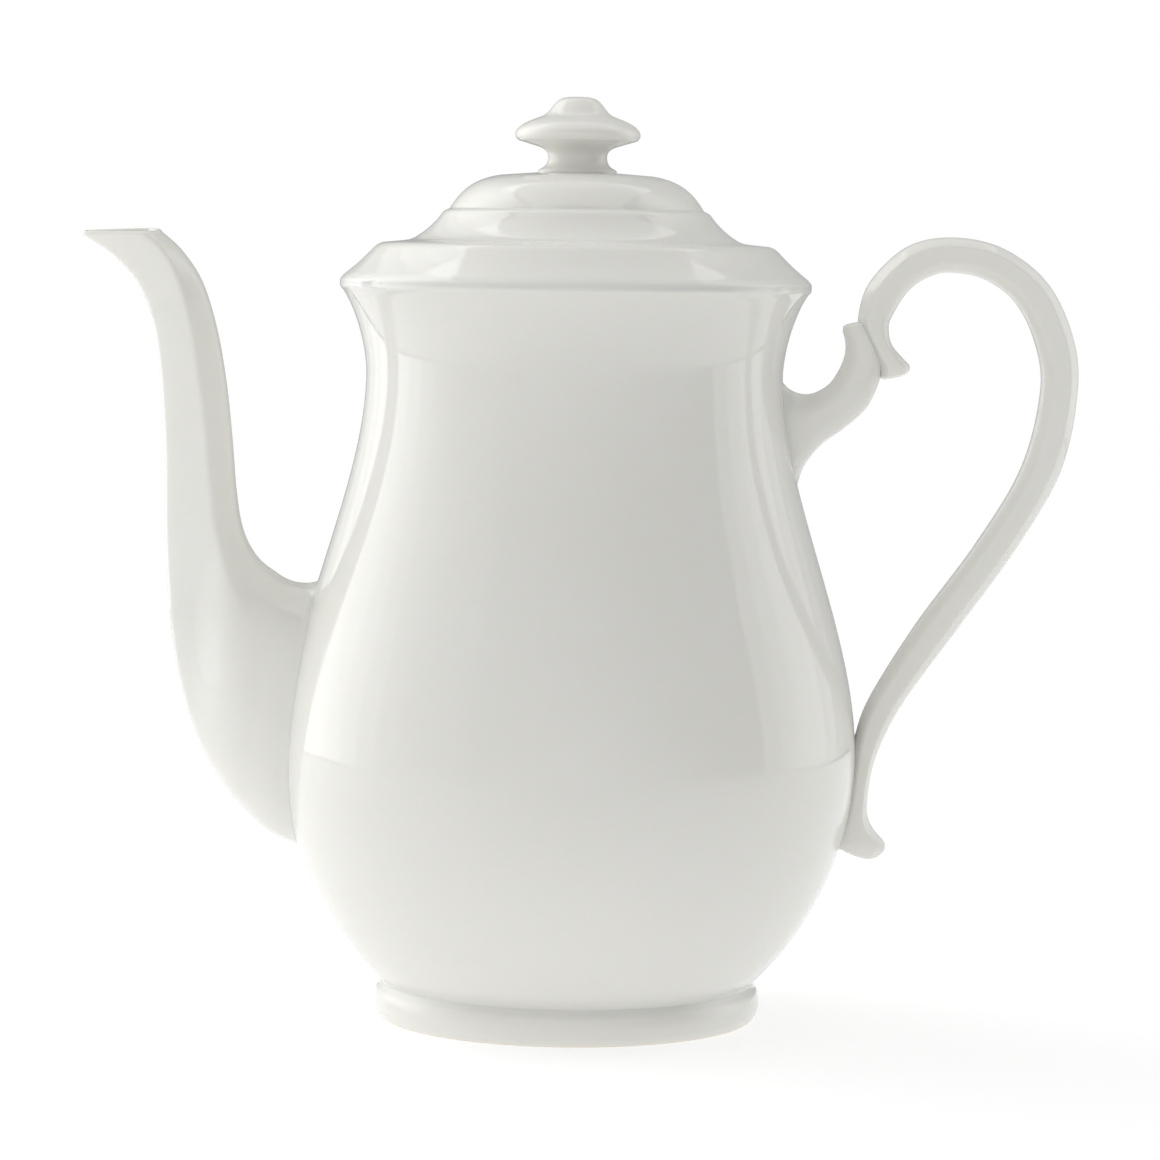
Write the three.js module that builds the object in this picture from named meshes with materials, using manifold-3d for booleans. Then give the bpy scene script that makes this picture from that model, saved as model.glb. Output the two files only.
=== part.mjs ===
// Porcelain coffee pot: a pear-shaped body on a turned foot, a swan-necked spout,
// a two-piece scroll handle and a stepped lid that lifts off.
// Millimetres, +Z up, origin on the pot's axis at the plane that the foot stands on.
// The spout points along -X and the handle along +X.

import * as THREE from 'three';
import { mergeVertices } from 'three/addons/utils/BufferGeometryUtils.js';
import Module from 'manifold-3d';

const wasm = await Module();
wasm.setup();

// ---------------------------------------------------------------- driving dimensions

const GAP = 0.3; // width of the luted joint between two pieces
const FACETS = 48; // sides of the large turned pieces
const SMALL_FACETS = 32; // sides of the knob

const FOOT = {
  height: 8.2,
  bearingInner: 38.6,
  bearingOuter: 42.2,
  bulge: 43.8,
  bulgeHeight: 4,
  topOuter: 42.5,
  topInner: 36.8,
};

const BODY = {
  wall: 3.2,
  shoulderRadius: 41.9, // where the wall starts above the foot
  bellyRadius: 64.4,
  bellyHeight: 60,
  neckRadius: 46.7,
  neckHeight: 145,
  flareRadius: 52, // underside of the rounded lip
  flareHeight: 163.4,
  rimRadius: 52.8,
  rimHeight: 165.2,
  landInner: 48.6, // inner edge of the flat that carries the lid
  ledgeRadius: 41.6, // inner ledge that the lid's lug catches under
  ledgeTop: 161,
  ledgeBottom: 157.4,
};

// How far each arch of the wall's outline runs on from its ends, as [out, up] or up alone.
const PULL = {
  shoulder: [14, 13.6],
  belowBelly: 19.4,
  aboveBelly: 27.8,
  belowNeck: 26,
  aboveNeck: 5,
  belowFlare: [3.3, 5],
};

const LID = {
  bottom: BODY.rimHeight + GAP,
  landInner: 46,
  shoulderRadius: 43.4,
  shoulderHeight: 174.2,
  filletRadius: 37,
  filletHeight: 174.9,
  stepRadius: 29.9,
  stepHeight: 181,
  domeRadius: 28.4,
  domeHeight: 182,
  top: 190,
  undersideOfTop: 187,
  ventRadius: 1.5,
  ventPlace: 23, // distance of the steam vent from the lid's axis
  ventDrill: 16, // length of the tool, enough to pass through the dome
};

const FLANGE = { outer: 40.8, inner: 37.8, bottom: 152, top: 170.2 };

const LUG = { reach: 2.1, width: 11, bottom: 152.4, top: 156.2, clearance: 0.7 };
const NOTCH = { depth: 6, height: 11.6 };

const KNOB = {
  bottom: LID.top + GAP,
  footRadius: 8.8,
  waistRadius: 6.6,
  waistHeight: 193.8,
  brimRadius: 14.1,
  brimHeight: 198.2,
  top: 207,
};

// ---------------------------------------------------------------- helpers

const material = (colour, roughness) =>
  new THREE.MeshStandardMaterial({ color: colour, roughness, metalness: 0 });

const GLAZE = [0xe6e3da, 0.12];
const BARE_CLAY = [0xdedad0, 0.6];

function namedMesh(name, geometry, [colour, roughness]) {
  const mesh = new THREE.Mesh(geometry, material(colour, roughness));
  mesh.name = name;
  return mesh;
}

// A closed geometry becomes a solid that can be cut or joined.
function toSolid(geometry) {
  const bare = geometry.clone();
  bare.deleteAttribute('normal');
  bare.deleteAttribute('uv');
  const merged = mergeVertices(bare, 1e-4);
  return new wasm.Manifold(
    new wasm.Mesh({
      numProp: 3,
      vertProperties: new Float32Array(merged.attributes.position.array),
      triVerts: new Uint32Array(merged.index.array),
    }),
  );
}

function toGeometry(solid) {
  const mesh = solid.getMesh();
  const geometry = new THREE.BufferGeometry();
  geometry.setAttribute('position', new THREE.BufferAttribute(mesh.vertProperties, 3));
  geometry.setIndex(new THREE.BufferAttribute(mesh.triVerts, 1));
  geometry.computeVertexNormals();
  return geometry;
}

// A profile of [radius, height] points is turned about the pot's axis.
function turned(profile, facets = FACETS) {
  const points = profile.map(([radius, height]) => new THREE.Vector2(radius, height));
  return new THREE.LatheGeometry(points, facets).rotateX(Math.PI / 2);
}

// Points along a cubic arch between two [radius, height] ends with two handles.
function arch(start, startHandle, endHandle, end, steps) {
  const curve = new THREE.CubicBezierCurve(
    new THREE.Vector2(...start),
    new THREE.Vector2(...startHandle),
    new THREE.Vector2(...endHandle),
    new THREE.Vector2(...end),
  );
  return curve.getPoints(steps).map((point) => [point.x, point.y]);
}

// Moves an open profile sideways along its own normal, towards the axis.
function inset(profile, distance) {
  return profile.map(([radius, height], index) => {
    const [beforeRadius, beforeHeight] = profile[Math.max(index - 1, 0)];
    const [afterRadius, afterHeight] = profile[Math.min(index + 1, profile.length - 1)];
    const length = Math.hypot(afterRadius - beforeRadius, afterHeight - beforeHeight);
    return [
      radius - (distance * (afterHeight - beforeHeight)) / length,
      height + (distance * (afterRadius - beforeRadius)) / length,
    ];
  });
}

// A tube whose section changes along its length. Each station gives the two points where the
// section meets the pot's middle plane, as [x, z], and half of its width across that plane.
// squareness above 1 fills the section's corners.
function lofted(stations, sides, steps, squareness = 1) {
  const through = (pick) => new THREE.CatmullRomCurve3(stations.map(pick));
  const first = through(({ from }) => new THREE.Vector3(from[0], 0, from[1]));
  const second = through(({ to }) => new THREE.Vector3(to[0], 0, to[1]));
  const width = through(({ half }) => new THREE.Vector3(0, half, 0));
  const rounded = (value) => Math.sign(value) * Math.abs(value) ** (1 / squareness);

  const tube = new THREE.CylinderGeometry(1, 1, 1, sides, steps);
  const vertices = tube.attributes.position;
  for (let index = 0; index < vertices.count; index += 1) {
    const along = vertices.getY(index) + 0.5;
    const across = rounded(vertices.getX(index));
    const sideways = rounded(vertices.getZ(index));
    const start = first.getPoint(along);
    const end = second.getPoint(along);
    const point = start.clone().lerp(end, (1 - across) / 2);
    point.y = width.getPoint(along).y * sideways;
    vertices.setXYZ(index, point.x, point.y, point.z);
  }
  return tube;
}

// ---------------------------------------------------------------- body and foot

const wallOutside = [
  ...arch(
    [BODY.shoulderRadius, FOOT.height + GAP],
    [BODY.shoulderRadius + PULL.shoulder[0], FOOT.height + PULL.shoulder[1]],
    [BODY.bellyRadius, BODY.bellyHeight - PULL.belowBelly],
    [BODY.bellyRadius, BODY.bellyHeight],
    8,
  ),
  ...arch(
    [BODY.bellyRadius, BODY.bellyHeight],
    [BODY.bellyRadius, BODY.bellyHeight + PULL.aboveBelly],
    [BODY.neckRadius, BODY.neckHeight - PULL.belowNeck],
    [BODY.neckRadius, BODY.neckHeight],
    10,
  ).slice(1),
  ...arch(
    [BODY.neckRadius, BODY.neckHeight],
    [BODY.neckRadius, BODY.neckHeight + PULL.aboveNeck],
    [BODY.flareRadius - PULL.belowFlare[0], BODY.flareHeight - PULL.belowFlare[1]],
    [BODY.flareRadius, BODY.flareHeight],
    5,
  ).slice(1),
];

const lip = [
  [BODY.rimRadius, BODY.flareHeight + 0.7],
  [BODY.rimRadius, BODY.rimHeight - 0.5],
  [BODY.rimRadius - 0.5, BODY.rimHeight],
];

// The inside follows the outside at the wall's thickness, from the floor up to the ledge.
const wallInside = inset(wallOutside, BODY.wall).filter(
  ([, height], index) => index > 0 && index % 2 === 0 && height < BODY.ledgeBottom - 2,
);

const gallery = [
  [BODY.ledgeRadius, BODY.ledgeBottom],
  [BODY.ledgeRadius, BODY.ledgeTop],
  [BODY.landInner - 3, BODY.ledgeTop],
  [BODY.landInner, BODY.rimHeight],
];

const floorHeight = FOOT.height + GAP + BODY.wall;

const bodyShell = turned([
  [0, FOOT.height + GAP],
  ...wallOutside,
  ...lip,
  ...gallery.toReversed(),
  ...wallInside.toReversed(),
  [BODY.shoulderRadius - BODY.wall, floorHeight],
  [0, floorHeight],
]);

// Everything that is luted onto the wall is cut to this shape, which stands off it by the joint.
const jointSurface = toSolid(
  turned([
    [0, FOOT.height],
    ...inset(wallOutside, -GAP),
    [0, BODY.flareHeight],
  ]),
);

function turnedFoot() {
  return turned([
    [FOOT.bearingInner, 0],
    [FOOT.bearingOuter, 0],
    [FOOT.bulge - 0.5, FOOT.bulgeHeight - 2.4],
    [FOOT.bulge, FOOT.bulgeHeight],
    [FOOT.bulge - 0.4, FOOT.height - 1.8],
    [FOOT.topOuter, FOOT.height],
    [FOOT.topInner, FOOT.height],
    [FOOT.bearingInner, 0],
  ]);
}

// ---------------------------------------------------------------- spout

const SPOUT_WALL = 2.4;
const ROOT_WALL = 6.2; // where the spout spreads onto the body
const ROOT_STATIONS = 3;
const MOUTH_RUN = [5, 4]; // how far the channel's shape runs on past the mouth

// From the root inside the body up to the mouth, lower edge first.
const spoutStations = [
  { from: [-48, 37], to: [-48, 98], half: 17 },
  { from: [-64, 39.2], to: [-61.2, 97.4], half: 16.4 },
  { from: [-73.2, 45.8], to: [-67.4, 100.2], half: 15 },
  { from: [-81.3, 56.4], to: [-71.5, 104], half: 13.2 },
  { from: [-86.5, 69], to: [-74.3, 110], half: 11.2 },
  { from: [-90.1, 87], to: [-75.7, 118.5], half: 9.4 },
  { from: [-91.5, 108], to: [-76.5, 128], half: 8.3 },
  { from: [-91.9, 129], to: [-77.9, 141], half: 7.6 },
  { from: [-93.7, 150.5], to: [-80.1, 153.5], half: 7.2 },
  { from: [-97.3, 162.8], to: [-83.5, 164.4], half: 7.1 },
  { from: [-103.1, 170], to: [-88.1, 171.4], half: 7.2 },
  { from: [-110.9, 175.3], to: [-92.7, 175.8], half: 7.2 },
];

// The channel keeps the wall's thickness from the outside, runs on into the body and out of
// the mouth.
const channelStations = spoutStations.map(({ from, to, half }, index) => {
  const reach = Math.hypot(from[0] - to[0], from[1] - to[1]);
  const wall = index < ROOT_STATIONS ? ROOT_WALL : SPOUT_WALL;
  const share = wall / reach;
  const between = (low, high, part) => low + (high - low) * part;
  return {
    from: [between(from[0], to[0], share), between(from[1], to[1], share)],
    to: [between(to[0], from[0], share), between(to[1], from[1], share)],
    half: half - wall,
  };
});
const mouth = channelStations.at(-1);
channelStations.push({
  from: [mouth.from[0] - MOUTH_RUN[0], mouth.from[1] + MOUTH_RUN[1]],
  to: [mouth.to[0] - MOUTH_RUN[1], mouth.to[1] + MOUTH_RUN[0]],
  half: mouth.half,
});

const SPOUT_STEPS = 26;
const channel = toSolid(lofted(channelStations, 16, SPOUT_STEPS));
const spoutSolid = toSolid(lofted(spoutStations, 20, SPOUT_STEPS))
  .subtract(channel)
  .subtract(jointSurface);

// ---------------------------------------------------------------- handle

// A short horn that leaves the neck, turns up and ends in a spur.
const bracketStations = [
  { from: [42, 147], to: [44, 116], half: 5 },
  { from: [46.8, 143.4], to: [49.4, 120.2], half: 4.9 },
  { from: [50.2, 141.6], to: [52, 125.6], half: 4.8 },
  { from: [53.5, 141.6], to: [55.6, 130.1], half: 4.8 },
  { from: [57, 143.6], to: [60.6, 133.8], half: 4.6 },
  { from: [59.2, 146.8], to: [65.5, 138.4], half: 4.5 },
  { from: [60.5, 150.2], to: [68.3, 144.4], half: 4.2 },
  { from: [60.6, 153.2], to: [69, 149.5], half: 4 },
  { from: [60, 155.6], to: [68, 153.8], half: 3.7 },
  { from: [60.2, 156.8], to: [66, 157.4], half: 3.1 },
  { from: [61.4, 157.3], to: [65, 158], half: 1.8 },
];

// The loop: from the spur that overlaps the horn, over the top and down to the belly's tail.
const loopStations = [
  { from: [69.4, 144.9], to: [73, 145.6], half: 1.8 },
  { from: [68.5, 145.4], to: [74.6, 146.5], half: 3.2 },
  { from: [68.3, 147], to: [75.1, 148], half: 4.1 },
  { from: [67.6, 149], to: [73.4, 149.9], half: 4.5 },
  { from: [66, 152.2], to: [71.1, 152.6], half: 4.7 },
  { from: [64.4, 155.4], to: [70.3, 155.4], half: 4.8 },
  { from: [63.4, 159], to: [70.7, 158.6], half: 4.8 },
  { from: [65.9, 166.8], to: [74.5, 164.8], half: 4.8 },
  { from: [73.9, 174.6], to: [79.5, 168.2], half: 4.8 },
  { from: [83.7, 176.9], to: [84.5, 169], half: 4.8 },
  { from: [95.1, 174.8], to: [91.7, 167.5], half: 4.8 },
  { from: [105.3, 167.4], to: [98.5, 162.5], half: 4.8 },
  { from: [111.5, 155.6], to: [103.1, 153.4], half: 4.8 },
  { from: [113, 143], to: [104.5, 142.6], half: 4.8 },
  { from: [109.5, 125], to: [100.5, 125.4], half: 4.7 },
  { from: [99.9, 107.4], to: [90.5, 108], half: 4.5 },
  { from: [87.3, 89.4], to: [77.5, 89.8], half: 4.3 },
  { from: [75.7, 73], to: [67.3, 72.8], half: 4.1 },
  { from: [70.8, 63.8], to: [64.3, 63.6], half: 4 },
  { from: [68.5, 57], to: [63.8, 56.8], half: 4 },
  { from: [67.6, 50.6], to: [63.1, 50.4], half: 4 },
  { from: [67.7, 46], to: [62, 45.6], half: 4 },
  { from: [69.2, 43], to: [60.8, 42.4], half: 4 },
  { from: [71.4, 40.5], to: [60.2, 40.2], half: 3.9 },
  { from: [71.6, 38.6], to: [61.4, 38.7], half: 3.4 },
  { from: [69.8, 36.9], to: [64.5, 37.2], half: 2.4 },
  { from: [68.7, 36.5], to: [66.6, 36.6], half: 1.2 },
];

const HANDLE_SQUARENESS = 1.25;
const HANDLE_SIDES = 12;
const LOOP_STEPS = 62;
const BRACKET_STEPS = 22;
const SCOOP_MARGIN = 2; // how far the scoop passes the loop on each side of the middle plane

const loopGeometry = lofted(loopStations, HANDLE_SIDES, LOOP_STEPS, HANDLE_SQUARENESS);
const loopSolid = toSolid(loopGeometry).subtract(jointSurface);

// The horn is scooped out where the loop lies over its end: the scoop is the loop itself, wider
// by the joint in the middle plane, well over the horn's width across it, and a little longer.
const scoopStations = loopStations.map(({ from, to, half }) => {
  const reach = Math.hypot(to[0] - from[0], to[1] - from[1]);
  const grow = [(GAP * (to[0] - from[0])) / reach, (GAP * (to[1] - from[1])) / reach];
  return {
    from: [from[0] - grow[0], from[1] - grow[1]],
    to: [to[0] + grow[0], to[1] + grow[1]],
    half: half + SCOOP_MARGIN,
  };
});
scoopStations[0].from[1] -= 2 * GAP;
scoopStations[0].to[1] -= 2 * GAP;
const scoop = toSolid(lofted(scoopStations, HANDLE_SIDES, LOOP_STEPS, HANDLE_SQUARENESS));
const bracketSolid = toSolid(lofted(bracketStations, HANDLE_SIDES, BRACKET_STEPS, HANDLE_SQUARENESS))
  .subtract(jointSurface)
  .subtract(scoop);

// ---------------------------------------------------------------- lid

function turnedCover() {
  return turned([
    [0, LID.undersideOfTop],
    [15, LID.undersideOfTop - 0.5],
    [22, LID.undersideOfTop - 2.4],
    [25.2, LID.stepHeight - 0.4],
    [29, LID.stepHeight - 4.4],
    [34.6, LID.filletHeight - 2.9],
    [FLANGE.inner - 0.6, FLANGE.top + GAP],
    [FLANGE.outer + 0.6, FLANGE.top + GAP],
    [LID.landInner - 2.4, LID.bottom + 3],
    [LID.landInner, LID.bottom],
    [BODY.rimRadius - 0.5, LID.bottom],
    [BODY.rimRadius, LID.bottom + 0.5],
    [BODY.rimRadius - 0.2, LID.bottom + 1.1],
    ...arch(
      [BODY.rimRadius - 1.4, LID.bottom + 2],
      [BODY.rimRadius - 3.4, LID.bottom + 3.4],
      [LID.shoulderRadius + 3, LID.shoulderHeight - 2.4],
      [LID.shoulderRadius + 1, LID.shoulderHeight - 0.7],
      4,
    ),
    [LID.shoulderRadius - 0.6, LID.shoulderHeight],
    [LID.filletRadius + 1.4, LID.filletHeight - 0.4],
    [LID.filletRadius - 0.2, LID.filletHeight],
    [(LID.filletRadius + LID.stepRadius) / 2 - 0.6, (LID.filletHeight + LID.stepHeight) / 2],
    [LID.stepRadius, LID.stepHeight],
    [LID.domeRadius, LID.domeHeight - 0.2],
    ...arch(
      [LID.domeRadius - 0.3, LID.domeHeight + 0.4],
      [LID.domeRadius - 3, LID.domeHeight + 6],
      [LID.domeRadius - 8, LID.top - 0.2],
      [KNOB.footRadius + 1, LID.top],
      6,
    ),
    [0, LID.top],
  ]);
}

function ventDrill() {
  const drill = new THREE.CylinderGeometry(LID.ventRadius, LID.ventRadius, LID.ventDrill, 12);
  return drill.rotateX(Math.PI / 2).translate(0, LID.ventPlace, LID.top - 4);
}

const coverSolid = toSolid(turnedCover()).subtract(toSolid(ventDrill()));

function turnedFlange() {
  return turned([
    [FLANGE.inner + 0.6, FLANGE.bottom],
    [FLANGE.outer - 0.6, FLANGE.bottom],
    [FLANGE.outer, FLANGE.bottom + 1.2],
    [FLANGE.outer, FLANGE.top],
    [FLANGE.inner, FLANGE.top],
    [FLANGE.inner, FLANGE.bottom + 1.2],
    [FLANGE.inner + 0.6, FLANGE.bottom],
  ]);
}

// The lug is the outer part of a low ring, kept only where it faces the spout.
function lugBlock(outer, width, bottom, top) {
  const ring = turned([
    [FLANGE.outer + GAP, bottom],
    [outer, bottom + 0.4],
    [outer, top - 0.4],
    [FLANGE.outer + GAP, top],
    [FLANGE.outer + GAP, bottom],
  ]);
  const slice = new THREE.BoxGeometry(2 * BODY.rimRadius, width, 2 * (top - bottom));
  slice.translate(-BODY.rimRadius, 0, (top + bottom) / 2);
  return toSolid(ring).intersect(toSolid(slice));
}

const lugOuter = FLANGE.outer + GAP + LUG.reach;
const lugSolid = lugBlock(lugOuter, LUG.width, LUG.bottom, LUG.top);

// The lug lifts out through a notch in the body's ledge.
const notch = new THREE.BoxGeometry(
  NOTCH.depth,
  LUG.width + 2 * LUG.clearance,
  NOTCH.height,
).translate(
  NOTCH.depth / 2 - lugOuter - LUG.clearance,
  0,
  (BODY.ledgeTop + BODY.ledgeBottom) / 2,
);

const bodySolid = toSolid(bodyShell).subtract(channel).subtract(toSolid(notch));

function turnedKnob() {
  return turned(
    [
      [0, KNOB.bottom],
      [KNOB.footRadius, KNOB.bottom],
      [KNOB.footRadius - 0.2, KNOB.bottom + 1],
      [KNOB.waistRadius + 0.5, KNOB.waistHeight - 1.2],
      [KNOB.waistRadius, KNOB.waistHeight],
      [KNOB.waistRadius + 1, KNOB.waistHeight + 1.6],
      [KNOB.brimRadius - 0.8, KNOB.brimHeight - 1.4],
      [KNOB.brimRadius, KNOB.brimHeight - 0.4],
      [KNOB.brimRadius - 0.2, KNOB.brimHeight + 0.7],
      [KNOB.brimRadius - 1.8, KNOB.brimHeight + 2.2],
      [KNOB.brimRadius - 5, KNOB.brimHeight + 4.2],
      [KNOB.waistRadius - 0.2, KNOB.top - 1.8],
      [KNOB.waistRadius - 2, KNOB.top - 0.5],
      [0, KNOB.top],
    ],
    SMALL_FACETS,
  );
}

// ---------------------------------------------------------------- assembly

const pot = new THREE.Group();
pot.add(
  namedMesh('pot_body', toGeometry(bodySolid), GLAZE),
  namedMesh('foot_ring', turnedFoot(), BARE_CLAY),
  namedMesh('spout', toGeometry(spoutSolid), GLAZE),
  namedMesh('handle_bracket', toGeometry(bracketSolid), GLAZE),
  namedMesh('handle_loop', toGeometry(loopSolid), GLAZE),
);

const lid = new THREE.Group();
lid.add(
  namedMesh('lid_cover', toGeometry(coverSolid), GLAZE),
  namedMesh('lid_flange', turnedFlange(), GLAZE),
  namedMesh('lid_lug', toGeometry(lugSolid), GLAZE),
  namedMesh('lid_knob', turnedKnob(), GLAZE),
);

const coffeePot = new THREE.Group();
coffeePot.add(pot, lid);

export default coffeePot;
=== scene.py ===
import math

import bmesh
import bpy
from mathutils import Matrix, Vector


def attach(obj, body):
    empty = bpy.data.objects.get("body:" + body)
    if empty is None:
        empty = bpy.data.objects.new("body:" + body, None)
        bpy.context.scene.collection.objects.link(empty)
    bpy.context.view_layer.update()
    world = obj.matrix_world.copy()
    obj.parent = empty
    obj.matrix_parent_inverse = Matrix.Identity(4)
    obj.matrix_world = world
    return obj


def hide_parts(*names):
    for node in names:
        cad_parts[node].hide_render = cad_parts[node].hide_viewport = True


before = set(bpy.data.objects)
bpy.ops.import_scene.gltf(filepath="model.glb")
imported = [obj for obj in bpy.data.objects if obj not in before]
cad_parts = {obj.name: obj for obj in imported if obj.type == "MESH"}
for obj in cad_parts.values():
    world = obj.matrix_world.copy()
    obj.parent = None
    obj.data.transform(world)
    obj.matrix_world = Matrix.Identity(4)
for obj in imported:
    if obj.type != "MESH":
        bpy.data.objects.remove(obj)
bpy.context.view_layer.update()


# Camera: a long lens about a metre in front of the pot, level with the top of the lid and
# tipped down a little, so that the foot is seen from above and the lid's edge almost edge-on.
CAMERA_PLACE = (0.00185, -0.9878, 0.17595)
CAMERA_PITCH = math.radians(-4.464)
CAMERA_ROLL = math.radians(0.8)

camera_data = bpy.data.cameras.new("camera")
camera_data.sensor_width = 36
camera_data.lens = 136.55
camera_data.clip_end = 20
camera = bpy.data.objects.new("camera", camera_data)
bpy.context.scene.collection.objects.link(camera)
bpy.context.scene.camera = camera
pitch = Matrix.Rotation(math.radians(90) + CAMERA_PITCH, 3, "X")
turn = pitch @ Matrix.Rotation(CAMERA_ROLL, 3, "Z")
camera.rotation_euler = turn.to_euler()
camera.location = CAMERA_PLACE


# Studio: a round white table in a white room, lit by a curved wall of diffusers on each side
# that reaches down to the table, a soft box overhead and a weak fill from the front.
class Wire:
    """One output in a node tree. Arithmetic on it adds Math nodes to the same tree."""

    def __init__(self, shader, socket):
        self.shader = shader
        self.socket = socket

    def __add__(self, other):
        return self.shader.number("ADD", self, other)

    __radd__ = __add__

    def __sub__(self, other):
        return self.shader.number("SUBTRACT", self, other)

    def __rsub__(self, other):
        return self.shader.number("SUBTRACT", other, self)

    def __mul__(self, other):
        return self.shader.number("MULTIPLY", self, other)

    def __pow__(self, other):
        return self.shader.number("POWER", self, other)

    def above(self, lowest):
        return self.shader.number("MAXIMUM", self, lowest)

    def between(self, low, high):
        """0 below low, 1 above high and a smooth rise between them."""
        settings = {"interpolation_type": "SMOOTHSTEP"}
        sockets = {"Value": self, "From Min": low, "From Max": high}
        return self.shader.node("ShaderNodeMapRange", settings, sockets)


class Shader:
    """A node tree that is written from its inputs to its output."""

    def __init__(self, tree):
        self.tree = tree
        tree.nodes.clear()

    def node(self, kind, settings=None, sockets=None, output=0):
        """Adds a node. Settings are set first, then each socket gets its value or link."""
        node = self.tree.nodes.new(kind)
        for name, value in (settings or {}).items():
            setattr(node, name, value)
        for name, value in (sockets or {}).items():
            socket = node.inputs[name]
            if isinstance(value, Wire):
                self.tree.links.new(value.socket, socket)
            else:
                socket.default_value = value
        return Wire(self, node.outputs[output]) if node.outputs else node

    def number(self, operation, first, second):
        return self.node("ShaderNodeMath", {"operation": operation}, {0: first, 1: second})

    def mixed(self, factor, first, second):
        """Goes from the first colour to the second as factor goes from 0 to 1."""
        sockets = {0: factor, 6: first, 7: second}
        return self.node("ShaderNodeMix", {"data_type": "RGBA"}, sockets, output=2)


WHITE = (1, 1, 1, 1)
bpy.context.scene.view_settings.view_transform = "Standard"

room = bpy.data.worlds.new("white_room")
room.use_nodes = True
bpy.context.scene.world = room
shader = Shader(room.node_tree)
seen = shader.node("ShaderNodeLightPath")
direction = shader.node("ShaderNodeTexCoord")
forwards = shader.node("ShaderNodeSeparateXYZ", {}, {0: direction}, output=1)
FRONT_FILL = 1.12
fill = (0 - forwards).above(0) ** 2 * FRONT_FILL
strength = fill * (1 - seen) + seen
background = shader.node("ShaderNodeBackground", {}, {"Color": WHITE, "Strength": strength})
shader.node("ShaderNodeOutputWorld", {}, {"Surface": background})


def soft_box(name, centre, aim, width, height, radiance):
    """A rectangular diffuser that faces aim. Sizes are in metres."""
    data = bpy.data.lights.new(name, "AREA")
    data.shape = "RECTANGLE"
    data.size = width
    data.size_y = height
    data.energy = radiance * math.pi * width * height
    box = bpy.data.objects.new(name, data)
    bpy.context.scene.collection.objects.link(box)
    box.location = centre
    box.rotation_euler = (Vector(aim) - Vector(centre)).to_track_quat("-Z", "Y").to_euler()
    box.visible_camera = False


WALL_DISTANCE = 0.7
WALL_HEIGHT = 1.25
STRIP_ANGLE = 10


def soft_wall(side, start, evenly, peak, brightest, spread):
    """Tall strips of diffuser round one side of the pot, -1 for the left and 1 for the right.

    Angles are in degrees round the pot from its front. The wall runs from start to the back,
    and glows evenly, with a peak on top of that at the brightest angle.
    """
    strip_width = 2 * WALL_DISTANCE * math.tan(math.radians(STRIP_ANGLE / 2))
    for angle in range(start, 180, STRIP_ANGLE):
        middle = angle + STRIP_ANGLE / 2
        nearness = math.exp(-(((middle - brightest) / spread) ** 2))
        turned_by = math.radians(middle)
        place = Vector((side * math.sin(turned_by), -math.cos(turned_by), 0)) * WALL_DISTANCE
        place.z = WALL_HEIGHT / 2
        aim = (0, 0, WALL_HEIGHT / 2)
        name = f"wall_{'left' if side < 0 else 'right'}_{angle}"
        soft_box(name, place, aim, strip_width, WALL_HEIGHT, evenly + peak * nearness)


soft_wall(-1, start=40, evenly=0.25, peak=2.3, brightest=112, spread=34)
soft_wall(1, start=80, evenly=0.45, peak=1.2, brightest=108, spread=22)
TOP_BOX_PLACE = (0, 0.1, 1.2)
TOP_BOX_AIM = (0, 0.05, 0)
TOP_BOX_SIDE = 1.2
soft_box("top_box", TOP_BOX_PLACE, TOP_BOX_AIM, TOP_BOX_SIDE, TOP_BOX_SIDE, 1.15)

TABLE_RADIUS = 0.66
table_mesh = bpy.data.meshes.new("table")
table_shape = bmesh.new()
bmesh.ops.create_circle(table_shape, cap_ends=True, segments=96, radius=TABLE_RADIUS)
table_shape.to_mesh(table_mesh)
table_shape.free()
table = bpy.data.objects.new("table", table_mesh)
bpy.context.scene.collection.objects.link(table)
table_paint = bpy.data.materials.new("lit_white_table")
table_paint.use_nodes = True
shader = Shader(table_paint.node_tree)
TABLE_GLOW = 0.58
surface = shader.node(
    "ShaderNodeBsdfPrincipled",
    {},
    {
        "Base Color": (0.5, 0.5, 0.5, 1),
        "Roughness": 0.6,
        "Emission Color": WHITE,
        "Emission Strength": TABLE_GLOW,
    },
)
shader.node("ShaderNodeOutputMaterial", {}, {"Surface": surface})
table_mesh.materials.append(table_paint)


# Body: the pear-shaped wall, slip-cast in white porcelain and glazed all over. Its lip carries
# the lid on a flat land, and a ledge with one notch inside the lip holds the lid's lug.
MM = 0.001
BODY_START = (42.9, 9.3)
BELLY = (64.4, 60)
NECK = (46.7, 145)
FLARE = (52, 163.4)
RIM_RADIUS = 52.8
RIM_HEIGHT = 165.2
WALL = 3.2
FLOOR_HEIGHT = 11.7
AROUND = 192


def arch(start, start_handle, end_handle, end, steps=24):
    """Points along a cubic arch between two ends with two handles."""
    points = []
    for step in range(steps + 1):
        t = step / steps
        shares = ((1 - t) ** 3, 3 * t * (1 - t) ** 2, 3 * t * t * (1 - t), t**3)
        corners = (start, start_handle, end_handle, end)
        points.append(tuple(sum(s * c[k] for s, c in zip(shares, corners)) for k in (0, 1)))
    return points


def softened(profile, steps=5):
    """Rounds each point given as (radius, height, cut) over that distance on both sides."""
    points = []
    for index, point in enumerate(profile):
        if len(point) == 2:
            points.append(point)
            continue
        corner = Vector(point[:2])
        before = Vector(profile[index - 1][:2]) - corner
        after = Vector(profile[(index + 1) % len(profile)][:2]) - corner
        start = corner + before.normalized() * min(point[2], before.length / 2)
        end = corner + after.normalized() * min(point[2], after.length / 2)
        for step in range(steps + 1):
            t = step / steps
            points.append(tuple(start.lerp(corner, t).lerp(corner.lerp(end, t), t)))
    return points


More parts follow.
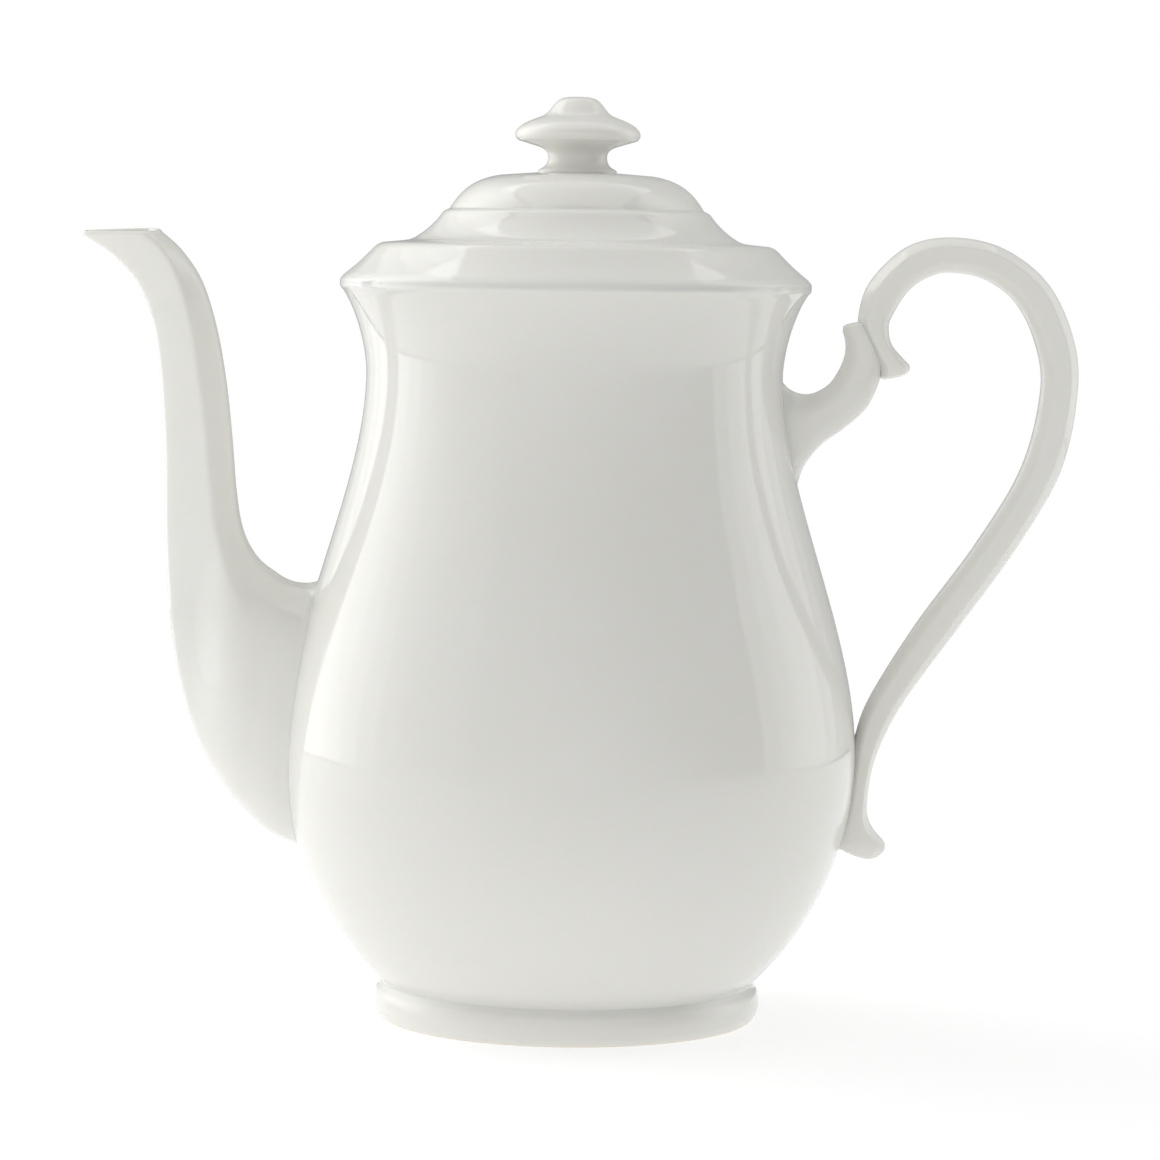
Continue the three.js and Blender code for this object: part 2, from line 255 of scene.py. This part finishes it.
def new_piece(name, vertices, faces):
    """A named mesh object from vertices in millimetres."""
    mesh = bpy.data.meshes.new(name)
    mesh.from_pydata([Vector(v) * MM for v in vertices], [], faces)
    tidy = bmesh.new()
    tidy.from_mesh(mesh)
    bmesh.ops.recalc_face_normals(tidy, faces=tidy.faces)
    tidy.to_mesh(mesh)
    tidy.free()
    piece = bpy.data.objects.new(name, mesh)
    bpy.context.scene.collection.objects.link(piece)
    return piece


def strips(rows):
    """Faces between rows of vertices. A row may be one vertex repeated, which is a pole."""
    faces = []
    for lower, upper in zip(rows, rows[1:]):
        count = len(lower)
        for k in range(count):
            n = (k + 1) % count
            face = list(dict.fromkeys((lower[k], lower[n], upper[n], upper[k])))
            if len(face) > 2:
                faces.append(face)
    return faces


def turned(name, profile, closed=False, around=AROUND):
    """A profile of (radius, height) points turned about the pot's axis."""
    vertices = []
    rows = []
    for radius, height in profile:
        if radius < 1e-6:
            rows.append([len(vertices)] * around)
            vertices.append((0, 0, height))
            continue
        rows.append(list(range(len(vertices), len(vertices) + around)))
        for k in range(around):
            angle = 2 * math.pi * k / around
            vertices.append((radius * math.cos(angle), radius * math.sin(angle), height))
    if closed:
        rows.append(rows[0])
    return new_piece(name, vertices, strips(rows))


def inset(profile, distance):
    """Moves an open profile sideways, towards the axis."""
    moved = []
    for index, (radius, height) in enumerate(profile):
        before = Vector(profile[max(index - 1, 0)])
        after = Vector(profile[min(index + 1, len(profile) - 1)])
        along = (after - before).normalized()
        moved.append((radius - distance * along.y, height + distance * along.x))
    return moved


def cut(piece, tool):
    """Takes the tool's shape away from the piece."""
    modifier = piece.modifiers.new("cut", "BOOLEAN")
    modifier.operation = "DIFFERENCE"
    modifier.solver = "EXACT"
    modifier.object = tool
    graph = bpy.context.evaluated_depsgraph_get()
    mesh = bpy.data.meshes.new_from_object(piece.evaluated_get(graph))
    piece.modifiers.clear()
    mesh.name = piece.name
    piece.data = mesh


def finished(piece, sharp=50):
    """Smooths the shading everywhere but across real corners."""
    piece.data.shade_smooth()
    piece.data.set_sharp_from_angle(angle=math.radians(sharp))


def mark_hollows_for_glaze_and_shade(piece, reach=0.5, rounds=3):
    """Marks each vertex from 0 to 1 with how deep it lies in a hollow, for thick glaze and painted
    shade.
    """
    shape = bmesh.new()
    shape.from_mesh(piece.data)
    depth = []
    for vertex in shape.verts:
        hollow = 0
        for edge in vertex.link_edges:
            if len(edge.link_faces) == 2:
                spread = sum(face.calc_area() for face in edge.link_faces) / edge.calc_length()
                hollow -= edge.calc_face_angle_signed(0) / max(spread, 1e-5)
        depth.append(min(max(hollow * reach * MM, 0), 1))
    for _ in range(rounds):
        depth = [
            sum((depth[edge.other_vert(vertex).index] for edge in vertex.link_edges), depth[index])
            / (1 + len(vertex.link_edges))
            for index, vertex in enumerate(shape.verts)
        ]
    shape.free()
    layer = piece.data.attributes.new("hollow_glaze_and_shade", "FLOAT", "POINT")
    layer.data.foreach_set("value", depth)


PORCELAIN = (0.76, 0.755, 0.71, 1)
PORCELAIN_THIN = (0.775, 0.77, 0.737, 1)
# Colour of the hollows: greener where the glaze runs thick, and darker, which is painted shade.
GLAZE_TINT_AND_SHADE = (0.69, 0.70, 0.625, 1)
BARE_CLAY = (0.80, 0.76, 0.69, 1)
KILN_SPECK = (0.42, 0.36, 0.28, 1)
GLAZE_RELIEF = 0.00022


def porcelain(name, bare_below=None, matt=0.0):
    """White glazed porcelain. Below the height bare_below, in metres, the glaze is wiped off."""
    paint = bpy.data.materials.new(name)
    paint.use_nodes = True
    shader = Shader(paint.node_tree)
    place = shader.node("ShaderNodeTexCoord", output=3)

    def noise(scale, detail=2, rough=0.5):
        sockets = {"Vector": place, "Scale": scale, "Detail": detail, "Roughness": rough}
        return shader.node("ShaderNodeTexNoise", {}, sockets)

    cloud = noise(22).between(0.3, 0.7)
    mottle = noise(160, 4, 0.6).between(0.35, 0.75)
    # How deep each point lies in a hollow. This drives the glaze tint and the painted shade in
    # creases.
    hollow_tint_and_shade = shader.node("ShaderNodeAttribute", {"attribute_name": "hollow_glaze_and_shade"}, output=2)
    cell = shader.node("ShaderNodeTexVoronoi", {}, {"Vector": place, "Scale": 95})
    lot = shader.node("ShaderNodeTexVoronoi", {}, {"Vector": place, "Scale": 95}, output=1)
    chosen = shader.node("ShaderNodeSeparateColor", {}, {0: lot}).between(0.975, 0.98)
    speck = chosen * (1 - cell.between(0.012, 0.03)) * 0.5
    rub = noise(70, 6, 0.7).between(0.52, 0.8)

    colour = shader.mixed(cloud * 0.6 + mottle * 0.25, PORCELAIN, PORCELAIN_THIN)
    # Hollows go towards the darker, greener colour: part glaze tint, part painted shade.
    colour = shader.mixed(hollow_tint_and_shade * 0.55, colour, GLAZE_TINT_AND_SHADE)
    colour = shader.mixed(speck, colour, KILN_SPECK)
    roughness = 0.07 + matt + rub * 0.05 + mottle * 0.015
    height = noise(34, 1) + noise(900, 2) * 0.02
    if bare_below is not None:
        level = shader.node("ShaderNodeSeparateXYZ", {}, {0: place}, output=2)
        edge = bare_below + (noise(240) - 0.5) * 0.0006
        bare = 1 - (level - edge).between(-0.0002, 0.0002)
        grit = noise(2600, 3, 0.7)
        colour = shader.mixed(bare * (0.75 + grit * 0.25), colour, BARE_CLAY)
        roughness = roughness + bare * (0.5 + grit * 0.12)
        height = height + bare * grit * 0.12
    bump = shader.node(
        "ShaderNodeBump", {}, {"Height": height, "Distance": GLAZE_RELIEF, "Strength": 1.0}
    )
    surface = shader.node(
        "ShaderNodeBsdfPrincipled",
        {"subsurface_method": "RANDOM_WALK"},
        {
            "Base Color": colour,
            "Roughness": roughness,
            "Normal": bump,
            "IOR": 1.52,
            "Subsurface Weight": 0.25,
            "Subsurface Radius": (1.0, 0.85, 0.6),
            "Subsurface Scale": 0.0025,
        },
    )
    shader.node("ShaderNodeOutputMaterial", {}, {"Surface": surface})
    return paint


def fitted(piece, paint, body, slot, *nodes):
    """Finishes a piece's surface and fixes it to its body in place of its plain solids."""
    finished(piece)
    mark_hollows_for_glaze_and_shade(piece)
    piece.data.materials.clear()
    piece.data.materials.append(paint)
    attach(piece, body)
    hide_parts(*nodes)


glazed = porcelain("glazed_porcelain")


def beyond(point, out, up):
    """A handle of an arch, which is that far out and up from the arch's end."""
    return (point[0] + out, point[1] + up)


INSIDE_TOP = 154
below_belly = arch(BODY_START, beyond(BODY_START, 13.2, 12.6), beyond(BELLY, 0, -19.4), BELLY, 28)
above_belly = arch(BELLY, beyond(BELLY, 0, 27.8), beyond(NECK, 0, -26), NECK, 36)
flare = arch(NECK, beyond(NECK, 0, 5), beyond(FLARE, -3.3, -5), FLARE, 18)
wall_outside = below_belly + above_belly[1:] + flare[1:]
wall_inside = [p for p in inset(wall_outside, WALL) if FLOOR_HEIGHT + 3 < p[1] < INSIDE_TOP]

body_profile = [
    (0, 9.6),
    (24, 9.3),
    (36, 8.6, 2),
    (42.2, 8.3),
    *arch((42.3, 8.3), (42.35, 8.7), (42.6, 9.02), BODY_START, 6),
    *wall_outside[1:],
    (RIM_RADIUS, 164.2, 0.5),
    (RIM_RADIUS, RIM_HEIGHT),
    (48.6, RIM_HEIGHT, 0.6),
    (45.6, 161, 0.6),
    (41.6, 161, 0.6),
    (41.6, 157.4, 0.6),
    *reversed(wall_inside),
    (38.7, FLOOR_HEIGHT, 3),
    (0, FLOOR_HEIGHT),
]
pot_body = turned("pot_body_porcelain", softened(body_profile))


# Foot: a turned ring under the body, luted on and glazed, wiped bare where it stands.
foot_profile = [
    (38.6, 0, 0.5),
    (42.2, 0, 0.8),
    (43.3, 1.6, 0.7),
    (43.8, 4, 1.2),
    (43.35, 6.6, 0.9),
    (42.5, 7.6, 0.5),
    (42.25, 8.4),
    (41.2, 9.0),
    (37.2, 9.0),
    (36.8, 8.2, 0.4),
]
foot_ring = turned("foot_ring_porcelain", softened(foot_profile), closed=True)
foot = porcelain("foot_porcelain", bare_below=0.0007)
fitted(foot_ring, foot, "pot", "foot_porcelain", "foot_ring")


# Spout: a swan neck cast on its own, hollow, wide where it joins the belly and drawn out to a
# beak, with a ridge along each side. It is luted to the wall over one opening as wide as its
# channel.
SPOUT = [
    # lower edge, upper edge, half of the width across
    ((-48, 37), (-48, 98), 17),
    ((-64, 39.2), (-61.2, 97.4), 16.4),
    ((-73.2, 45.8), (-67.4, 100.2), 15),
    ((-81.3, 56.4), (-71.5, 104), 13.2),
    ((-86.5, 69), (-74.3, 110), 11.2),
    ((-90.1, 87), (-75.7, 118.5), 9.4),
    ((-91.5, 108), (-76.5, 128), 8.3),
    ((-91.9, 129), (-77.9, 141), 7.6),
    ((-93.7, 150.5), (-80.1, 153.5), 7.2),
    ((-97.3, 162.8), (-83.5, 164.4), 7.1),
    ((-103.1, 170), (-88.1, 171.4), 7.2),
    ((-110.7, 175.1), (-92.7, 175.6), 7.2),
]
SPOUT_WALL = 2.4
SPOUT_LIP = 1.5
ROOT_STATIONS = 3
LIP_STATIONS = 3
MOUTH_TILT = 0.065
TILT_FROM = 160
TILT_FULL = 174


def smooth_through(values, share):
    """The value at a share of the way along a smooth curve through equally spaced values."""
    place = share * (len(values) - 1)
    index = min(int(place), len(values) - 2)
    t = place - index
    before = values[max(index - 1, 0)]
    first, second = values[index], values[index + 1]
    after = values[min(index + 2, len(values) - 1)]
    slope, next_slope = (second - before) / 2, (after - first) / 2
    rise = second - first
    return first + t * (slope + t * (3 * rise - 2 * slope - next_slope
                                     + t * (slope + next_slope - 2 * rise)))


def oval(count, fullness=1):
    """Points round a section as (across, sideways), from -1 to 1."""
    points = []
    for k in range(count):
        angle = 2 * math.pi * k / count
        pair = (math.cos(angle), math.sin(angle))
        points.append(tuple(math.copysign(abs(v) ** (1 / fullness), v) for v in pair))
    return points


def sections(stations, shares, outline_at):
    """Rows of points: an outline at each share of the way along the stations."""
    rows = []
    columns = list(zip(*[(*low, *high, half) for low, high, half in stations]))
    for share in shares:
        low_x, low_z, high_x, high_z, half = (smooth_through(c, share) for c in columns)
        row = []
        for across, sideways in outline_at(share):
            t = (1 + across) / 2
            x = low_x + (high_x - low_x) * t
            z = low_z + (high_z - low_z) * t
            row.append((x, half * sideways, z))
        rows.append(row)
    return rows


def skinned(name, rows):
    """A closed skin over rows of points, with a pole at each end."""
    vertices = []
    numbered = []
    ends = [tuple(sum(v) / len(row) for v in zip(*row)) for row in (rows[0], rows[-1])]
    for row in [[ends[0]], *rows, [ends[1]]]:
        if len(row) == 1:
            numbered.append([len(vertices)] * len(rows[0]))
        else:
            numbered.append(list(range(len(vertices), len(vertices) + len(row))))
        vertices += row
    return new_piece(name, vertices, strips(numbered))


def narrowed(stations, wall):
    """The stations of a channel inside a piece, where wall(index) is its thickness there."""
    inner = []
    for index, (low, high, half) in enumerate(stations):
        low, high = Vector(low), Vector(high)
        step = (high - low).normalized() * wall(index)
        inner.append((tuple(low + step), tuple(high - step), half - wall(index)))
    return inner


def spout_wall(index):
    """Thick at the root, even along the neck, and thinned over the last stations to the lip."""
    from_neck = max(ROOT_STATIONS - index, 0)
    from_mouth = len(SPOUT) - 1 - index
    thickness = SPOUT_WALL * (1 + 0.5 * from_neck)
    return SPOUT_LIP + (thickness - SPOUT_LIP) * min(from_mouth / LIP_STATIONS, 1)


def share_between(value, low, high):
    return min(max((value - low) / (high - low), 0), 1)


def tilted(rows):
    """Leans the mouth so that its far edge is a little higher than the near one."""
    return [
        [(x, y, z + y * MOUTH_TILT * share_between(z, TILT_FROM, TILT_FULL)) for x, y, z in row]
        for row in rows
    ]


def soft_least(first, second, softness):
    """The lesser of two numbers, with the corner between them rounded."""
    return (first + second - math.hypot(first - second, softness)) / 2


# Where the ridge lies between the lower edge, -1, and the upper edge, 1, from root to mouth,
# and the share of the spout's length over which it rises out of the root.
RIDGE = (0.6, 0.6, 0.6, 0.58, 0.53, 0.42, 0.36, 0.27, 0.3, 0.55, 0.8)
RIDGE_STARTS = 0.2
RIDGE_FULL = 0.42
SPOUT_AROUND = 88
ROUND = oval(SPOUT_AROUND)


def spout_outline(share):
    """Oval at the root, and drawn to a ridge on each side along the neck."""
    t = share_between(share, RIDGE_STARTS, RIDGE_FULL)
    ridged = t * t * (3 - 2 * t)
    ridge = smooth_through(RIDGE, share)
    points = []
    for across, sideways in ROUND:
        lower_flank = 0.3 + 0.74 * (across + 1) / (1 + ridge)
        upper_flank = 0.44 + 0.6 * (1 - across) / (1 - ridge)
        flanks = soft_least(lower_flank, upper_flank, 0.07)
        drawn = max(soft_least(flanks, 1.35 * abs(sideways), 0.16), 0)
        drawn = math.copysign(drawn, sideways)
        points.append((across, sideways + (drawn - sideways) * ridged))
    return points


channel_stations = narrowed(SPOUT, spout_wall)
ROOT_SHARE = 0.2
root_shares = [ROOT_SHARE * k / 44 for k in range(44)]
outer_shares = root_shares + [ROOT_SHARE + (1 - ROOT_SHARE) * k / 150 for k in range(151)]
inner_shares = [k / 110 for k in range(111)]
outer_rows = tilted(sections(SPOUT, outer_shares, spout_outline))
inner_rows = tilted(sections(channel_stations, inner_shares, spout_outline))
lip_rows = []
for step in range(1, 8):
    t = step / 8
    raised = SPOUT_LIP * 0.45 * math.sin(math.pi * t)
    row = []
    for outside, inside in zip(outer_rows[-1], inner_rows[-1]):
        x, y, z = Vector(outside).lerp(Vector(inside), t)
        row.append((x, y, z + raised))
    lip_rows.append(row)
spout = skinned("spout_porcelain", outer_rows + lip_rows + inner_rows[::-1])

bore_stations = channel_stations[: ROOT_STATIONS + 1]
bore_shares = [k / 24 for k in range(25)]
bore = skinned("bore", sections(bore_stations, bore_shares, lambda share: ROUND))
cut(pot_body, bore)
bpy.data.objects.remove(bore)

NOTCH_OUTSIDE = -43.9
NOTCH_DEPTH = 6
NOTCH_HALF = 6.2
NOTCH_HEIGHTS = (153.4, 165)
notch_base = [
    (NOTCH_OUTSIDE, -NOTCH_HALF),
    (NOTCH_OUTSIDE + NOTCH_DEPTH, -NOTCH_HALF),
    (NOTCH_OUTSIDE + NOTCH_DEPTH, NOTCH_HALF),
    (NOTCH_OUTSIDE, NOTCH_HALF),
]
notch = skinned("notch", [[(x, y, z) for x, y in notch_base] for z in NOTCH_HEIGHTS])
cut(pot_body, notch)
bpy.data.objects.remove(notch)


fitted(pot_body, glazed, "pot", "glazed_porcelain", "pot_body")


def trimmed(piece, depth=0.4):
    """Cuts away the part of a piece that would reach deeper than that into the body's wall."""
    core_profile = [(0, 8.5), *inset(wall_outside, depth), (0, FLARE[1])]
    core = turned("core", core_profile)
    cut(piece, core)
    bpy.data.objects.remove(core)


def swollen(piece, radius=0.9, rounds=4):
    """Flares a piece where it meets the wall, as the slip that holds it does."""
    mesh = piece.data
    wall = [Vector(point) * MM for point in wall_outside]
    moves = [Vector((0, 0, 0)) for _ in mesh.vertices]
    for vertex in mesh.vertices:
        spot = Vector((math.hypot(vertex.co.x, vertex.co.y), vertex.co.z))
        nearest = min(range(len(wall)), key=lambda k: (wall[k] - spot).length_squared)
        first = wall[max(nearest - 1, 0)]
        along = (wall[min(nearest + 1, len(wall) - 1)] - first).normalized()
        gap = (spot - first).x * along.y - (spot - first).y * along.x
        closeness = 1 - min(max(gap / (radius * MM), 0), 1)
        flat = Vector((vertex.co.x, vertex.co.y, 0)).normalized()
        outward = flat * along.y - Vector((0, 0, along.x))
        across = vertex.normal - outward * vertex.normal.dot(outward)
        if closeness > 0 and across.length > 0.1:
            reach = radius * MM * (1 - math.sqrt(1 - closeness**2))
            moves[vertex.index] = across.normalized() * reach
    for _ in range(rounds):
        totals = [move.copy() for move in moves]
        counts = [1] * len(moves)
        for edge in mesh.edges:
            first, second = edge.vertices
            totals[first] += moves[second]
            totals[second] += moves[first]
            counts[first] += 1
            counts[second] += 1
        moves = [total / count for total, count in zip(totals, counts)]
    for vertex, move in zip(mesh.vertices, moves):
        vertex.co += move


swollen(spout)
trimmed(spout)
fitted(spout, glazed, "pot", "glazed_porcelain", "spout")


# Handle bracket: a short solid horn pressed in a mould, luted to the neck. It turns up and ends
# in a spur behind the handle's loop.
BRACKET = [
    ((42, 147), (44, 116), 5),
    ((46.8, 143.4), (49.4, 120.2), 4.9),
    ((50.2, 141.6), (52, 125.6), 4.8),
    ((53.5, 141.6), (55.6, 130.1), 4.8),
    ((57, 143.6), (60.6, 133.8), 4.6),
    ((59.2, 146.8), (65.5, 138.4), 4.5),
    ((60.5, 150.2), (68.3, 144.4), 4.2),
    ((60.6, 153.2), (69, 149.5), 4),
    ((60, 155.6), (68, 153.8), 3.7),
    ((60.2, 156.8), (66, 157.4), 3.1),
    ((61.4, 157.3), (65, 158), 1.8),
]
HORN_SECTION = softened(
    [
        (-1.0, 0.4, 0.35),
        (-0.45, 0.97, 0.3),
        (0.5, 0.97, 0.3),
        (1.0, 0.4, 0.35),
        (1.0, -0.4, 0.35),
        (0.5, -0.97, 0.3),
        (-0.45, -0.97, 0.3),
        (-1.0, -0.4, 0.35),
    ]
)
bracket_shares = [k / 90 for k in range(91)]
bracket_rows = sections(BRACKET, bracket_shares, lambda share: HORN_SECTION)
bracket = skinned("handle_bracket_porcelain", bracket_rows)
swollen(bracket)
trimmed(bracket)


# Handle loop: one solid scroll pressed in a two-part mould, with a ridge along each side near
# the outside. It rises from a spur on the bracket and its fishtail is luted to the belly.
LOOP = [
    ((69.4, 144.9), (73, 145.6), 1.8),
    ((68.5, 145.4), (74.6, 146.5), 3.2),
    ((68.3, 147), (75.1, 148), 4.1),
    ((67.6, 149), (73.4, 149.9), 4.5),
    ((66, 152.2), (71.1, 152.6), 4.7),
    ((64.4, 155.4), (70.3, 155.4), 4.8),
    ((63.4, 159), (70.7, 158.6), 4.8),
    ((65.9, 166.8), (74.5, 164.8), 4.8),
    ((73.9, 174.6), (79.5, 168.2), 4.8),
    ((83.7, 176.9), (84.5, 169), 4.8),
    ((95.1, 174.8), (91.7, 167.5), 4.8),
    ((105.3, 167.4), (98.5, 162.5), 4.8),
    ((111.4, 155.6), (103.1, 153.4), 4.8),
    ((112.9, 143), (104.5, 142.6), 4.8),
    ((109.5, 125), (100.5, 125.4), 4.7),
    ((99.9, 107.4), (90.5, 108), 4.5),
    ((87.3, 89.4), (77.5, 89.8), 4.3),
    ((75.7, 73), (67.3, 72.8), 4.1),
    ((70.8, 63.8), (64.3, 63.6), 4),
    ((68.5, 57), (63.8, 56.8), 4),
    ((67.6, 50.6), (63.1, 50.4), 4),
    ((67.7, 46), (62, 45.6), 4),
    ((69.2, 43), (60.8, 42.4), 4),
    ((71.4, 40.5), (60.2, 40.2), 3.9),
    ((71.6, 38.6), (61.4, 38.7), 3.4),
    ((69.8, 36.9), (64.5, 37.2), 2.4),
    ((68.7, 36.5), (66.6, 36.6), 1.2),
]
LOOP_SECTION = softened(
    [
        (-1.0, 0.36, 0.3),
        (-0.5, 0.98, 0.1),
        (0.55, 0.94, 0.25),
        (1.0, 0.4, 0.35),
        (1.0, -0.4, 0.35),
        (0.55, -0.94, 0.25),
        (-0.5, -0.98, 0.1),
        (-1.0, -0.36, 0.3),
    ]
)
loop_shares = [k / 420 for k in range(421)]
loop_rows = sections(LOOP, loop_shares, lambda share: LOOP_SECTION)
loop = skinned("handle_loop_porcelain", loop_rows)
swollen(loop)
trimmed(loop)
cut(bracket, loop)
fitted(bracket, glazed, "pot", "glazed_porcelain", "handle_bracket")
fitted(loop, glazed, "pot", "glazed_porcelain", "handle_loop")


# Lid cover: turned and slip-cast, with a curved brim, a flat shoulder, a hollow slope and a low
# dome over a fine step. A small steam vent is bored through the dome at the back.
LID_BOTTOM = 165.2
cover_profile = [
    (0, 187),
    (15, 186.5, 4),
    (22, 184.6, 4),
    (25.2, 180.6, 3),
    (29, 176.6, 3),
    (34.6, 172, 3),
    (37.2, 170.5),
    (41.4, 170.5),
    (43.6, 168.5, 0.6),
    (46, LID_BOTTOM, 0.6),
    (RIM_RADIUS, LID_BOTTOM),
    (RIM_RADIUS, 165.9, 0.4),
    *arch((51.9, 166.9), (49.9, 168.5), (48.2, 169.9), (46.6, 171.6), 10),
    *arch((45.9, 172.3), (45.0, 173.3), (44.3, 173.95), (43.0, 174.2), 8),
    (37.6, 174.7, 2.2),
    *arch((36.4, 175.2), (34.4, 176.2), (31.6, 178.6), (30.2, 180.7), 10),
    (29.7, 181.3, 0.9),
    (28.4, 181.9, 0.15),
    *arch((28, 182.6), (26, 185.6), (23.4, 188.6), (17, 189.5), 14),
    (9, 190.1),
    (0, 190.2),
]
cover = turned("lid_cover_porcelain", softened(cover_profile))
VENT_RADIUS = 1.5
VENT_PLACE = 23
vent_rows = [
    [(VENT_RADIUS * a, VENT_PLACE + VENT_RADIUS * b, z) for a, b in oval(32)] for z in (178, 192)
]
vent = skinned("vent", vent_rows)
cut(cover, vent)
bpy.data.objects.remove(vent)
fitted(cover, glazed, "lid", "glazed_porcelain", "lid_cover")


# Lid flange: the deep ring under the cover that sits inside the pot's mouth. Its glaze is thin
# and rubbed where it meets the ledge.
flange_profile = [
    (38.4, 152, 0.6),
    (40.2, 152, 0.6),
    (40.8, 153.2, 0.8),
    (40.8, 170.8),
    (37.8, 170.8),
    (37.8, 153.2, 0.8),
]
flange = turned("lid_flange_porcelain", softened(flange_profile), closed=True)
seat = porcelain("seat_porcelain", bare_below=0.1535, matt=0.12)
fitted(flange, seat, "lid", "seat_porcelain", "lid_flange")


# Lug: a small block on the flange, on the spout's side. It catches under the ledge when the pot
# is tipped to pour, and lifts out through the notch.
LUG_WIDTH = 11
LUG_RADIUS = 43.2
LUG_TAPERS_FROM = 0.8
lug_profile = softened(
    [(40.6, 152.4, 0.3), (LUG_RADIUS, 152.8, 0.6), (LUG_RADIUS, 155.8, 0.6), (40.6, 156.2, 0.3)]
)
lug_centre = Vector((41.9, 154.3))
lug_rows = []
for step in range(-12, 13):
    share = step / 12
    angle = math.pi + share * LUG_WIDTH / 2 / LUG_RADIUS
    shrink = 1 - 0.25 * max(abs(share) - LUG_TAPERS_FROM, 0) ** 2 / 0.04
    row = []
    for corner in lug_profile:
        radius, height = lug_centre + (Vector(corner) - lug_centre) * shrink
        row.append((radius * math.cos(angle), radius * math.sin(angle), height))
    lug_rows.append(row)
lug = skinned("lid_lug_porcelain", lug_rows)
fitted(lug, seat, "lid", "seat_porcelain", "lid_lug")


# Knob: a small mushroom turned solid, luted to the top of the dome. Its crown rises from a
# sloping brim over a waisted stem with a spread foot.
knob_profile = [
    (0, 189.9),
    (8.8, 189.9, 0.1),
    (8.8, 190.6, 0.3),
    *arch((8.2, 191.0), (7.0, 191.5), (6.6, 192.5), (6.6, 193.6), 10),
    *arch((6.65, 194.1), (6.8, 195.0), (7.6, 195.45), (8.8, 195.9), 8),
    (13.5, 197.3, 0.5),
    (14.1, 198.3, 0.8),
    *arch((13.85, 199.3), (12.9, 200.9), (10.6, 201.7), (8.5, 202.5), 12),
    *arch((7.7, 202.85), (6.5, 203.5), (6.0, 204.6), (5.1, 205.6), 10),
    *arch((4.8, 205.95), (3.8, 206.85), (2.4, 207), (0.8, 207), 8),
    (0, 207),
]
knob = turned("lid_knob_porcelain", softened(knob_profile), around=128)
fitted(knob, glazed, "lid", "glazed_porcelain", "lid_knob")
